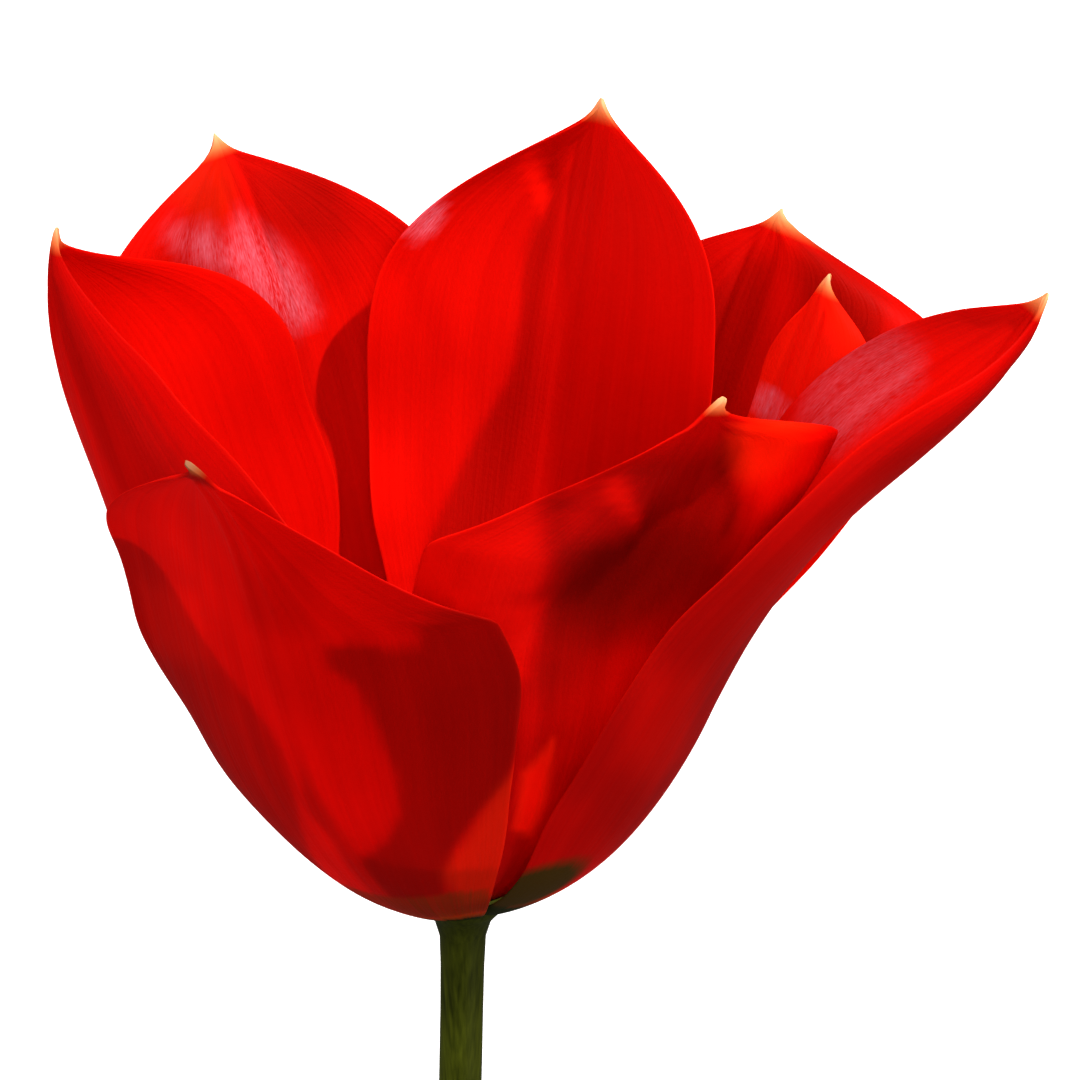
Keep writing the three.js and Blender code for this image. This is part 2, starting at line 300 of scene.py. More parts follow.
def tipped(tree, grain, red):
    """The cream tip, and last the painted shade of the coat tone."""
    tip = ranged(tree, grain["along"], 0.966, 0.994)
    cream = ramp(tree, tip, "#e0561e", "#e88a50", 0.55, "#f0bc8a")
    red = mixed(tree, ranged(tree, tip, 0, 0.5), red, cream)
    # painted shade: deep red where the coat tone is above 0
    return mixed(tree, ranged(tree, painted_on(tree, "tone"), 0, 1), red, "#5c0400")

# %% [markdown]
# ## Tepal skin: the sheet
# Half of the light is thrown back by the waxy skin, with little gloss, and half shines through, a bit
# brighter and warmer. The vein rows and the cells stand up from the skin by fractions of a millimetre,
# which is too fine for the mesh, so a bump does it.

# %% Material: tepal skin
SHINES_THROUGH = 0.5


def tepal_skin(name="scarlet tepal skin, waxy cells over a thin sheet"):
    """The material of all eight tepals."""
    made, tree = start_material(name)
    grain = blade_grain(tree)
    colour = pigment(tree, grain)
    for layer in (painted_glints, margined, clawed, tipped):
        colour = layer(tree, grain, colour)
    inputs = {"Color": colour, "Hue": 0.504, "Value": 1.25}
    glow = add(tree, "ShaderNodeHueSaturation", inputs).outputs["Color"]
    relief = reckon(tree, "MULTIPLY_ADD", grain["cells"], 0.35, grain["streak"])
    inputs = {"Height": relief, "Strength": 0.28, "Distance": 0.3 * MM}
    bump = add(tree, "ShaderNodeBump", inputs).outputs["Normal"]
    surface = add(tree, "ShaderNodeBsdfPrincipled", {
        "Base Color": colour, "Roughness": ranged(tree, grain["streak"], 0, 1, 0.46, 0.6),
        "Normal": bump, "IOR": 1.22, "Specular IOR Level": 0.09})
    through = add(tree, "ShaderNodeBsdfTranslucent", {"Color": glow, "Normal": bump})
    inputs = {0: SHINES_THROUGH, 1: surface.outputs[0], 2: through.outputs[0]}
    sheet = add(tree, "ShaderNodeMixShader", inputs)
    add(tree, "ShaderNodeOutputMaterial", {"Surface": sheet.outputs[0]})
    return made


TEPAL_SKIN = tepal_skin()
print("made", TEPAL_SKIN.name)

# %% [markdown]
# ## The tepals' shapes
# Each tepal is a blade: a narrow claw, a belly and a pointed end, cupped towards the bloom's axis.
# Its midrib is a curve, and every cross row bends away from it. Sculpting eight blades by hand, or
# bending flat outlines with a lattice, gives no control over where their margins cross each other.
# So one table states each blade in a florist's terms, and one function turns a row of it into points.
# A list runs from claw to tip and the blade bends smoothly between its values.

# %% The table of tepals
# whorl: (radius, height) of the claw, mm
# length, half: mm; half is the width of the minus side and the plus side, seen from the bloom's axis
# azimuth, lean, sway: degrees that the back faces, leans out and leans sideways
# widest, shoulder: where each side is widest, and how late it narrows
# claw: its width as a share of the belly's
# cup, roll: degrees that each side bends inward, all over and close to its margin
OUTER = (5.6, 1.2)
INNER = (4.4, 2.6)
NO_ROLL = ((0,), (0,))
TEPALS = {
    "tepal_front_left": dict(
        whorl=OUTER, length=88.5, azimuth=(246, 242, 232, 226),
        lean=(70, 36, 8, -4, 44), sway=(-2, -5, -4),
        half=(30.1, 27.8), widest=(0.507, 0.71), shoulder=(4.3, 0.7), claw=0.17,
        cup=((30, 60, 35, -10), (20, 58, 69, -6)), roll=((0, 0, -71), (-14, 5, -12))),
    "tepal_front_right": dict(
        whorl=INNER, length=85.5, azimuth=(288, 300, 306, 300),
        lean=(64, 32, 4, 0, 18), sway=(4, 12, 18),
        half=(27.3, 25.2), widest=(0.72, 0.93), shoulder=(0.95, 1.1), claw=0.13,
        cup=((18, 55, 80, -31), (80, 131, -2, -12)), roll=((-11, 9, -38), (-2, 17, 42))),
    "tepal_far_right": dict(
        whorl=OUTER, length=103.6, azimuth=(322, 335, 365, 388),
        lean=(66, 43, -26, 42, 92, 14), sway=(7, 26, -15),
        half=(26.4, 21.4), widest=(0.433, 0.51), shoulder=(3.1, 3.7), claw=0.18,
        cup=((30, 42, 21, 75, 42), (22, 32, 27, 28)), roll=((12, -25, 5, 53), (-9, -22, 0))),
    "tepal_small_right": dict(
        whorl=INNER, length=86.2, azimuth=(42, 39, 34, 32), lean=(68, 36, 34, 4, 22), sway=(0, -14, -4),
        half=(9.4, 4.3), widest=(0.92, 0.85), shoulder=(1.8, 1.35), claw=0.1,
        cup=((17, 42, -8, -73), (9, 29, 48, 37)), roll=((0, 0, -11), (0,))),
    "tepal_back_right": dict(
        whorl=OUTER, length=92.2, azimuth=(56, 61, 61, 58),
        lean=(74, 42, 16, 0.4, 35), sway=(0, -12, -10.7),
        half=(27.5, 18.8), widest=(0.846, 0.629), shoulder=(6, 3.2), claw=0.09,
        cup=((30, 75, 45, -70), (30, 34, 25, 10)), roll=NO_ROLL),
    "tepal_back_centre": dict(
        whorl=INNER, length=98.5, azimuth=(80, 74, 68, 66),
        lean=(68, 30, -6, 19, 6.8), sway=(-2, -5, -4.2),
        half=(22, 24.5), widest=(0.52, 0.702), shoulder=(6, 2.4), claw=0.07,
        cup=((30, 40, 25, 10), (30, 38, 43.4, 30)), roll=((0,), (-5, -5, 11))),
    "tepal_back_left": dict(
        whorl=OUTER, length=97.7, azimuth=(120, 112, 112, 112),
        lean=(70, 34, 6.8, 2.2, 31.7), sway=(-3, 7.2, 11.8),
        half=(24.4, 26.2), widest=(0.585, 0.558), shoulder=(3.2, 5.8), claw=0.09,
        cup=((30, 48, 30, 10), (30, 44, 16, -4)), roll=NO_ROLL),
    "tepal_far_left": dict(
        whorl=INNER, length=98, azimuth=(170, 172, 178, 182), lean=(70, 36, 2, 46, -16), sway=(0, 0, 0),
        half=(34.3, 42), widest=(0.612, 0.54), shoulder=(3.4, 1.8), claw=0.07,
        cup=((11, 62, 134, 58), (30, 70, 98, 68)), roll=((-8, -25, -45), (0,))),
}
CREASE = (0, 0, 10)  # degrees that both sides fold inward at the midrib
POINTEDNESS = 1.25  # over 1 draws the flanks of the tip in
SPUR = (2.0, 0.8)  # mm, length and half width of the small fleshy horn that ends each tepal
SPUR_ROUNDNESS = 0.7  # under 1 keeps the horn wide almost to its end
SPURS = {
    "tepal_front_right": (3.0, 1.5),
    "tepal_front_left": (2.6, 1.0),
    "tepal_far_right": (1.6, 0.9),
}
print(len(TEPALS), "tepals")

# %% [markdown]
# ## From the table to points
# The midrib is walked in small steps, each turned a little from the last. From every point of it a
# row of points walks out to either margin, bending as it goes. This is how a real blade grows, and it
# keeps the blade's width true however much it curls.

# %% Steps along a blade and the width at each
ROWS = 72  # from claw to tip
COLUMNS = 28  # from the midrib to a margin
FINE = 2  # smaller steps inside each row and column


def blend(values, share):
    """Smooth blend of a list of values, from 0 at its first to 1 at its last."""
    row = list(values)
    while len(row) > 1:
        row = [a + (b - a) * share for a, b in zip(row, row[1:])]
    return row[0]


def side_width(name, index, share):
    """From the midrib to the margin of the minus side (index 0) or the plus side (index 1), mm."""
    tepal = TEPALS[name]
    spur_length, spur_half = SPURS.get(name, SPUR)
    belly, widest = tepal["half"][index], tepal["widest"][index]
    if share < widest:
        return belly * (tepal["claw"] + (1 - tepal["claw"]) * math.sin(share / widest * math.pi / 2))
    spur = 1 - spur_length / tepal["length"]
    past = min((share - widest) / (spur - widest), 1)
    narrowing = (1 - past ** tepal["shoulder"][index]) ** POINTEDNESS
    taper = min(max((1 - share) / (1 - spur), 0), 1) ** SPUR_ROUNDNESS
    return spur_half * taper + (belly - spur_half) * narrowing


print("widest tepal is", max(sum(tepal["half"]) for tepal in TEPALS.values()), "mm wide")

# %% [markdown]
# ## The midrib
# A midrib leaves the claw nearly level, rises, and turns out or in towards the tip. A drawn curve
# would need its handles moved by eye. Here lean, sway and azimuth are the angles of its direction, so
# each can be changed alone, and the same angles say which way is across the blade and which inward.

# %% The midrib
def midrib(tepal):
    """For each row: share of the length, point, and the directions across and into the bloom."""
    radius, height = tepal["whorl"]
    start = math.radians(tepal["azimuth"][0])
    point = Vector((math.cos(start) * radius, math.sin(start) * radius, height))
    steps = ROWS * FINE
    for i in range(steps + 1):
        share = i / steps  # 0 at the claw and 1 at the tip
        lean = math.radians(blend(tepal["lean"], share))
        spin = Matrix.Rotation(math.radians(blend(tepal["azimuth"], share)), 3, "Z")
        inward = spin @ Vector((-math.cos(lean), 0, math.sin(lean)))
        aside = Matrix.Rotation(math.radians(blend(tepal["sway"], share)), 3, inward)
        along = aside @ (spin @ Vector((math.sin(lean), 0, math.cos(lean))))
        across = aside @ (spin @ Vector((0, 1, 0)))
        if i:
            point = point + along * (tepal["length"] / steps)
        if i % FINE == 0:
            yield share, point, across, inward


highest = max(row[1].z for tepal in TEPALS.values() for row in midrib(tepal))
print("highest midrib ends", round(highest, 1), "mm above the stem")

# %% [markdown]
# ## What makes a blade look grown
# A smooth sheet looks like plastic. On the real tepal the margin waves slowly in and out with
# smaller flutters on top, the blade has soft hollows about 20 mm wide, and one to three furrows run
# beside the midrib and draw together at the tip. These could be a displacement texture, but the sizes
# are easier to judge in millimetres, so they are added to the points.

# %% Sizes of waves, hollows and furrows
WAVE_HEIGHT, WAVE_LENGTH, WAVE_SHIFT = 0.5, 27, 120  # mm, mm, degrees from one margin to the next
FLUTTER_HEIGHT, FLUTTER_LENGTH = 0.3, 9.5
WAVE_EDGE, FLUTTER_EDGE = 3, 6  # powers: the higher, the closer it keeps to the margin
HOLLOW_DEPTH, HOLLOW_SIZE = 0.8, 20
HOLLOW_START = 3  # a hollow is at its full depth from a third of the way out
FURROW_DEPTH, FURROW_WIDTH = 0.4, 0.65
FURROW_START, FURROW_GROWTH = 0.45, 0.35  # shares of the length
FURROW_END = 20  # a furrow runs out over the last twentieth of the blade
FURROWS = {"tepal_front_right": (-2.5,), "tepal_back_centre": (-1.9, 0.7, 2.4)}  # mm from the midrib
TWO_FURROWS = (-1.7, 1.7)
PLANTS_APART = 40  # mm between the blades' places in the noise, so that no two are alike

# %% [markdown]
# ## Folds and dents
# Two blades were creased in the bud and kept it. The front right one has a deep trough beside a ridge
# and two fine creases that run up to its tip, and the back centre one a low ridge that splits it into a
# lit half and a shaded one. A fold follows a line on the blade. A dent is a round hollow: two
# neighbours press into each other there, and without it they would cut into each other.

# %% Folds and dents
# depth inward, width and roundness in mm, share of the length where it begins, and then its line:
# mm from the midrib, from the beginning to the tip
FOLDS = {
    "tepal_front_right": (
        (3.4, 7.0, 3.0, 0.35, (-14, -15, -14, 2, 6, 0)),
        (-2.2, 4.5, 2.0, 0.6, (6, 10, 12, 8, 2)),
        (0.6, 0.7, 0.3, 0.62, (-3, 2, 7, 5.5, 0)),
        (0.5, 0.6, 0.3, 0.64, (-1, 4, 9.5, 7.5, 0.3)),
    ),
    "tepal_back_centre": (
        (-1.5, 5.5, 1.5, 0.2, (17, 16, 9, 4, 9.5, 0)),
    ),
}
# depth inward, share of the length, mm from the midrib, half height, half width
DENTS = {
    "tepal_front_right": ((1.4, 0.62, -2, 10, 12),),
    "tepal_back_left": ((-1.7, 0.6, -23, 14, 10),),
}
FOLD_GROWTH = 0.2  # share of the length over which a fold deepens
FOLD_END = 8  # it runs out over the last eighth of the blade


def fold(name, share, aside):
    """How far the tepal's own folds and dents push a point inward, mm."""
    push = 0
    for depth, width, roundness, start, line in FOLDS.get(name, ()):
        middle = blend(line, max(share - start, 0) / (1 - start))
        away = math.hypot(aside - middle, roundness) - roundness
        begun = min(max((share - start) / FOLD_GROWTH, 0), 1)
        push += depth * math.exp(-away / width) * begun * min((1 - share) * FOLD_END, 1)
    for depth, middle, side, tall, wide in DENTS.get(name, ()):
        gap = math.hypot((share - middle) * TEPALS[name]["length"] / tall, (aside - side) / wide)
        push += depth * math.exp(-gap ** 2)
    return push


print("folded tepals:", ", ".join(FOLDS))

# %% [markdown]
# ## All of it together
# Waves and flutters grow towards the margin, hollows begin a little beside the midrib, and all three
# fade at the claw and the tip. The furrows begin half way up.

# %% Everything that moves a point in or out
def grown(order, name, index, share, out, aside):
    """How far a point is pushed inward, mm. out is 0 at the midrib and 1 at the margin."""
    length = TEPALS[name]["length"]
    fade = math.sqrt(max(math.sin(share * math.pi), 0))
    margin_number = order * 2 + index
    phase = math.radians(share * length / WAVE_LENGTH * 360 + margin_number * WAVE_SHIFT)
    wave = WAVE_HEIGHT * math.sin(phase) * out ** WAVE_EDGE
    spot = Vector((aside, share * length, order * PLANTS_APART))
    flutter = FLUTTER_HEIGHT * noise.noise(spot / FLUTTER_LENGTH) * 2 * out ** FLUTTER_EDGE
    hollow = HOLLOW_DEPTH * noise.noise(spot / HOLLOW_SIZE) * min(out * HOLLOW_START, 1)
    late = min(max((share - FURROW_START) / FURROW_GROWTH, 0), 1)
    nearest = min(abs(aside - line) for line in FURROWS.get(name, TWO_FURROWS))
    ending = min((1 - share) * FURROW_END, 1)
    furrow = -FURROW_DEPTH * math.exp(-(nearest / FURROW_WIDTH) ** 2) * late * ending
    return (wave + flutter + hollow) * fade + furrow + fold(name, share, aside)

# %% [markdown]
# ## A point of a blade
# From the midrib the walk goes out step by step, bending a little more with each, and last the point
# is pushed in or out by all of the above.

# %% A point of a blade
ROLL_EDGE = 4  # power: the roll keeps close to the margin


def blade_point(order, name, frame_row, column):
    """The point of a row at a column, from minus COLUMNS to plus COLUMNS."""
    tepal = TEPALS[name]
    share, point, across, inward = frame_row
    side = -1 if column < 0 else 1
    index = 0 if column < 0 else 1
    half = side_width(name, index, share)
    crease = math.radians(blend(CREASE, share))
    cup = math.radians(blend(tepal["cup"][index], share))
    roll = math.radians(blend(tepal["roll"][index], share))
    steps = COLUMNS * FINE
    spot = point.copy()
    for i in range(1, abs(column) * FINE + 1):
        out = (i - 0.5) / steps  # the middle of the step
        bend = crease + cup * out + roll * out ** ROLL_EDGE
        sideways, deeper = side * math.cos(bend) * half / steps, math.sin(bend) * half / steps
        spot += across * sideways + inward * deeper
    out = abs(column) / COLUMNS
    return spot + inward * grown(order, name, index, share, out, side * out * half)

# %% [markdown]
# ## Painted coats
# No petal is one even red in hard sunlight. The claw keeps some green, and most of the rest is
# painted light and shade. In Blender one would brush this on as vertex paint. Here each place is typed
# as an ellipse or an outline on the blade, with a soft edge, so that it can be measured and moved.
# There are four coats: frost is painted pink highlights, pale is painted orange light where the sun
# shines through, green is the claw's olive, carried up as painted shade where the base turns from the
# light, and tone is painted shade above 0 and painted light below it. The tone stands for the shadows
# that the tepals throw on each other and the light that passes between them, where the lamp alone
# doesn't put them.

# %% Ellipses of the four coats
# share of the length, mm from the midrib, half height and half width in mm, strength
SPOTS = {
    # painted highlights: pink glints where the light glances off
    "painted_glint": {
        "tepal_back_centre": ((0.825, 20.0, 2.8, 2.4, 1.0),),
        "tepal_small_right": ((0.79, 1.5, 2.0, 3.0, 0.8),),
    },
    # painted light: orange where the sun shines through the tepals
    "pale": {
        "tepal_small_right": ((0.88, 0, 15, 12, 0.35),),
        "tepal_front_right": ((0.93, 11, 5, 6, 0.6),),
        "tepal_back_left": ((0.95, 4, 6, 4, 0.3),),
    },
    # partly the base's own olive, partly painted shade where the base turns from the light
    "green": {
        "tepal_far_right": ((0.112, -10.5, 7.5, 5.8, 0.9),),
    },
    # painted light: the small right tepal brightened as if lit through
    "tone": {
        "tepal_small_right": ((0.86, 0, 30, 14, -0.5),),
    },
}
print("coats:", ", ".join(SPOTS))

# %% [markdown]
# ## Outlines of painted highlights, painted light and green
# A row of a table is the strength, the softness of the edge in mm and the outline, as a share of the
# length and the mm from the midrib. Two outlines come back in a second coat, so they have names.

# %% Outlines of painted highlights, painted light and green
GLINT_PANE = ((0.79, 21), (0.83, 16), (0.835, 10), (0.815, 7), (0.76, 7.5), (0.7, 8.5), (0.68, 12),
                (0.69, 18), (0.73, 21))
LIT_STRIP = ((0.458, -5), (0.361, -3.4), (0.292, -2.9), (0.3, -5.1), (0.403, -7))
PATCHES = {}
# painted highlights: pink glints where the light glances off
PATCHES["painted_glint"] = {
    "tepal_back_left": (
        (0.66, 2.2, ((0.903, 10.3), (0.889, 5.3), (0.861, 4.3), (0.889, 0.5), (0.847, -2.3),
            (0.806, -4), (0.75, -4.7), (0.736, -1.1), (0.778, 1.2), (0.833, 4), (0.861, 8.6))),
    ),
    "tepal_far_right": (
        (0.3, 2.4, GLINT_PANE),
    ),
}
# painted light: orange where the sun shines through or lights the tepals
PATCHES["pale"] = {
    "tepal_front_left": (
        (0.4, 1.5, ((0.26, 9.5), (0.32, 14.5), (0.41, 21), (0.45, 26), (0.31, 26), (0.2, 17),
            (0.15, 14), (0.15, 9))),
    ),
    "tepal_front_right": (
        (0.6, 0.8, LIT_STRIP),
    ),
}
# partly the base's own olive, partly painted shade where the base turns from the light
PATCHES["green"] = {
    "tepal_front_left": (
        (0.45, 1.5, ((0.1, -8), (0.2, -6), (0.212, 3), (0.205, 9), (0.185, 13), (0.1, 13))),
    ),
}
print("outlines so far:", ", ".join(PATCHES))

# %% [markdown]
# ## Tone outlines
# These are painted shade (deep red) and painted light (bright red). On the back centre tepal the
# painted lit half ends in a clear line, which four outlines share: one lights that half, and three lay
# the painted shade beside it in steps.

# %% Outlines of tone: painted shade and painted light
LIT_EDGE = ((0.93, 5.5), (0.9, 6.3), (0.861, 5.6), (0.833, 6.6), (0.792, 7.4), (0.75, 7.3),
            (0.708, 6.6), (0.66, 6.4), (0.625, 7.0), (0.569, 9.3), (0.514, 11.2), (0.444, 13.0),
            (0.361, 15.0))
# painted shade above 0 and painted light below it: cast shadows, lit halves, a sun fleck
PATCHES["tone"] = {
    "tepal_front_left": (
        (0.42, 0.7, ((0.681, 6.6), (0.694, 10.6), (0.681, 13.9), (0.681, 17.8), (0.722, 19.5),
            (0.735, 23), (0.73, 26.5), (0.7, 30), (0.54, 30), (0.472, 25.5), (0.417, 22),
            (0.375, 17.6), (0.306, 12.3), (0.25, 9.5), (0.2, 8), (0.2, 1.5), (0.3, 1), (0.35, 6),
            (0.403, 9.2), (0.472, 10.6), (0.556, 10.1), (0.625, 9.1), (0.653, 6.6))),
        (-0.15, 2.0, ((0.66, -27), (0.71, -12), (0.6, -13), (0.52, -29))),
        (0.1, 2.0, ((0.8, -2), (0.82, 7), (0.71, 6), (0.7, -4))),
        (-0.06, 1.8, ((0.85, 12), (0.72, 16.5), (0.7, 10.5), (0.69, 6), (0.66, 5), (0.62, 8),
            (0.5, 9.5), (0.4, 8), (0.3, 0), (0.3, -3.6), (0.4, -2.8), (0.5, -2.2), (0.58, -4.5),
            (0.64, -7), (0.7, -10), (0.78, -17), (0.8, -14), (0.68, 0), (0.72, 6))),
        (0.6, 0.8, ((0.955, -6), (0.955, 6), (1.1, 6), (1.1, -6))),
    ),
    "tepal_front_right": (
        (0.3, 3.0, ((0.819, -15.4), (0.861, -11.2), (0.889, -5.3), (0.917, 2.4), (0.9, 5.5),
            (0.833, 9.5), (0.79, 9), (0.736, 10.5), (0.681, 7.9), (0.611, 1), (0.556, -3.1),
            (0.514, -6.5), (0.528, -9), (0.597, -8.8), (0.653, -9), (0.694, -10.4), (0.75, -13.3))),
        (0.42, 5.0, ((0.78, -9), (0.8, 0), (0.79, 8), (0.72, 9), (0.667, 5), (0.62, -1), (0.61, -7),
            (0.68, -9))),
        (-0.5, 0.8, ((0.847, -9.3), (0.861, -7.2), (0.792, -1.8), (0.764, -1), (0.792, -3.5),
            (0.819, -7.7))),
        (-0.35, 1.4, ((0.58, -31), (0.76, -30), (0.83, -19), (0.82, -16.5), (0.75, -13.3),
            (0.7, -10.8), (0.67, -12), (0.655, -17.4), (0.64, -22), (0.58, -27))),
        (-0.45, 1.2, ((0.65, -22), (0.655, -9.5), (0.6, -9), (0.54, -9.2), (0.5, -13), (0.5, -22))),
        (-0.8, 1.0, LIT_STRIP),
        (-0.4, 2.0, ((0.84, -13), (0.85, -4.5), (0.79, -2.5), (0.755, -3.5), (0.75, -11))),
        (0.13, 2.0, ((0.56, -8), (0.56, 0), (0.46, 1.5), (0.45, -6))),
        (-0.45, 2.5, ((0.96, 5), (0.96, 20), (0.86, 22), (0.82, 15), (0.86, 9))),
        (0.35, 0.7, ((0.95, 2.6), (0.95, 3.6), (0.88, 6.6), (0.83, 9.4), (0.79, 9.5), (0.79, 8.4),
            (0.83, 8.2), (0.88, 5.4))),
    ),
    "tepal_far_right": (
        (-0.2, 3.0, ((0.46, -27), (0.46, -15), (0.33, -3), (0.3, -8), (0.34, -20))),
        (0.2, 2.4, GLINT_PANE),
    ),
    "tepal_back_left": (
        (0.32, 3.0, ((0.97, 2), (0.9, 12), (0.8, 18), (0.6, 24), (0.6, 8), (0.8, 5), (0.93, 1))),
        (0.22, 2.5, ((0.93, -3), (0.92, -12.5), (0.83, -11), (0.85, -1))),
        (0.1, 3.0, ((0.965, -2), (0.93, -9), (0.9, -13), (0.84, -13), (0.78, -9), (0.75, -5),
            (0.83, -4.5), (0.9, -2.5))),
        (-0.1, 0.8, ((0.778, -12.7), (0.79, -17), (0.6, -22), (0.4, -14), (0.4, 6), (0.6, 3),
            (0.694, 0.5), (0.736, -1.1), (0.75, -4.7), (0.764, -8.1))),
    ),
    "tepal_back_centre": (
        (-0.2, 5.0, ((0.98, 0), (0.9, -18), (0.7, -28), (0.45, -28), (0.4, 0), (0.55, 2.7),
            (0.74, 4.1))),
        (-0.15, 0.8, LIT_EDGE + ((0.4, 30), (0.7, 30), (0.8, 25), (0.86, 19), (0.9, 13))),
        (0.1, 0.8, LIT_EDGE + ((0.36, 9), (0.486, 5), (0.611, 3.5), (0.736, 4), (0.861, 4.5))),
        (0.1, 0.8, LIT_EDGE + ((0.36, 5), (0.486, 2), (0.611, 1.5), (0.736, 2.5), (0.861, 3.5))),
        (0.1, 0.8, LIT_EDGE + ((0.36, 1), (0.486, -1), (0.611, -0.5), (0.736, 1), (0.861, 2.5))),
        (0.15, 1.8, ((0.8, 22), (0.78, 19.5), (0.7, 15.5), (0.64, 12.5), (0.63, 14.5), (0.69, 18),
            (0.76, 22.5))),
        (-0.7, 0.6, ((0.905, 9.4), (0.925, 8.2), (0.87, 5.2), (0.835, 5.8), (0.87, 7.4))),
    ),
    "tepal_back_right": (
        (0.55, 3.0, ((0.99, -3), (0.94, -5), (0.9, -8), (0.85, -10), (0.8, -14), (0.85, -20),
            (0.95, -18))),
        (0.35, 2.5, ((0.7, -8), (0.75, -5.8), (0.85, -4.6), (0.93, -1.9), (0.93, 1), (0.85, 4),
            (0.75, 3), (0.7, 3))),
    ),
}
print(sum(len(rows) for coat in PATCHES.values() for rows in coat.values()), "outlines in all")

# %% [markdown]
# ## How strong a coat is at a point
# Inside an outline the strength rises with the distance to its nearest edge, and a point is inside if a
# line that leaves it crosses the outline an odd number of times.

# %% Strength of a coat at a point
ELLIPSE_EDGE, ELLIPSE_STEEPNESS = 1.3, 1.6  # where an ellipse's paint ends, in radii, and how fast
FAR_AWAY = 1000  # mm


def depth_inside(outline, length, share, aside):
    """How deep a point lies inside an outline on a blade, mm; below 0 outside it."""
    x, y = aside, share * length
    nearest, within = FAR_AWAY, False
    for (share_a, x_a), (share_b, x_b) in zip(outline, outline[1:] + outline[:1]):
        y_a, y_b = share_a * length, share_b * length
        run, rise = x_b - x_a, y_b - y_a
        part = min(max(((x - x_a) * run + (y - y_a) * rise) / (run * run + rise * rise), 0), 1)
        nearest = min(nearest, math.hypot(x - x_a - part * run, y - y_a - part * rise))
        if (y_a > y) != (y_b > y) and x < x_a + (y - y_a) / rise * run:
            within = not within
    return nearest if within else -nearest


def painted(coat, name, share, aside):
    """How strongly a coat is painted on a tepal at a point."""
    length = TEPALS[name]["length"]
    total = 0
    for middle, side, tall, wide, strength in SPOTS[coat].get(name, ()):
        gap = math.hypot((share - middle) * length / tall, (aside - side) / wide)
        total += strength * min(max(ELLIPSE_EDGE - gap, 0) * ELLIPSE_STEEPNESS, 1)
    for strength, softness, outline in PATCHES[coat].get(name, ()):
        part = min(max(0.5 + depth_inside(outline, length, share, aside) / (2 * softness), 0), 1)
        total += strength * part * part * (3 - 2 * part)  # an even, soft rise
    return min(max(total, -1), 1)

# %% [markdown]
# ## Modelling a tepal
# A flat grid is the right start: it is already a sheet, and it brings a UV map along. Each vertex is
# moved to its place on the blade, Solidify gives the sheet its thickness, thinner towards the
# margins, and one subdivision rounds the cut edges. The thickness is a weight on the vertices, as
# weight painting would give.

# %% Make the eight tepals
BLADE_THICKNESS = 0.72  # mm at the midrib
MARGIN_SHARE = 0.22  # of that thickness at the margins
TIP_FIRMNESS = 12  # the last twelfth of the blade keeps more of its thickness out to the margins


def make_tepal(order, name):
    """One tepal, from a flat grid to a finished blade."""
    deselect()
    bpy.ops.mesh.primitive_grid_add(x_subdivisions=2 * COLUMNS, y_subdivisions=ROWS, size=1,
                                    location=(0, 0, 0))
    piece = bpy.context.object
    piece.name = piece.data.name = name + "_petal"
    thick = piece.vertex_groups.new(name="thickness")
    coats = {coat: [] for coat in SPOTS}
    for attribute in (*coats, "outer_face"):
        piece.data.attributes.new(attribute, "FLOAT", "POINT")
    rows = list(midrib(TEPALS[name]))
    for vertex in piece.data.vertices:
        column = round(vertex.co.x * 2 * COLUMNS)
        row = round((vertex.co.y + 0.5) * ROWS)
        share, out = row / ROWS, column / COLUMNS
        aside = out * side_width(name, int(column > 0), share)
        for coat, values in coats.items():
            values.append(painted(coat, name, share, aside))
        vertex.co = LAID @ blade_point(order, name, rows[row], column)
        weight = 1 - out ** 2 * min((1 - share) * TIP_FIRMNESS, 1)
        thick.add([vertex.index], weight, "REPLACE")
    finish_modifier(piece, "SOLIDIFY", thickness=BLADE_THICKNESS * MM, offset=0,
                    vertex_group="thickness", thickness_vertex_group=MARGIN_SHARE)
    # Solidify keeps the first sheet as the outer face and adds the inner one after it
    sheet = len(rows) * (2 * COLUMNS + 1)
    piece.data.attributes["outer_face"].data.foreach_set("value", [1] * sheet + [0] * sheet)
    for coat, values in coats.items():
        # the painted highlights go on the inner face only
        outside = [0] * sheet if coat == "painted_glint" else values
        piece.data.attributes[coat].data.foreach_set("value", outside + values)
    finish_modifier(piece, "SUBSURF", levels=1, render_levels=1)
    attach(piece, TEPAL_SKIN, "tepal", name)


for order, name in enumerate(TEPALS):
    make_tepal(order, name)

# %% [markdown]
# ## The stem
# A cut flower stalk is round, smooth and waxy, and widens just under the bloom into the seat that
# the tepals grow from. A plain cylinder would miss that seat. So a circle is extruded upwards ring by
# ring, and each new ring is resized, as one would do by hand.

# %% Extruded rings
def extruded(name, rings, sides):
    """A closed body from (middle x, height, radius) rings, mm, standing in the flower's own frame."""
    deselect()
    first_x, first_height, first_radius = rings[0]
    bpy.ops.mesh.primitive_circle_add(vertices=sides, radius=first_radius, fill_type="NGON",
                                      location=(first_x, 0, first_height))
    piece = bpy.context.object
    piece.name = piece.data.name = name
    bpy.ops.object.transform_apply(location=True)
    bpy.ops.object.mode_set(mode="EDIT")
    bpy.ops.mesh.select_all(action="SELECT")
    x, height, radius = rings[0]
    for next_x, next_height, next_radius in rings[1:]:
        rise = (next_x - x, 0, next_height - height)
        bpy.ops.mesh.extrude_region_move(TRANSFORM_OT_translate={"value": rise})
        scale = next_radius / radius
        bpy.ops.transform.resize(value=(scale, scale, 1), center_override=(next_x, 0, next_height))
        x, height, radius = next_x, next_height, next_radius
    bpy.ops.mesh.select_all(action="SELECT")
    bpy.ops.mesh.normals_make_consistent(inside=False)
    bpy.ops.object.mode_set(mode="OBJECT")
    return piece


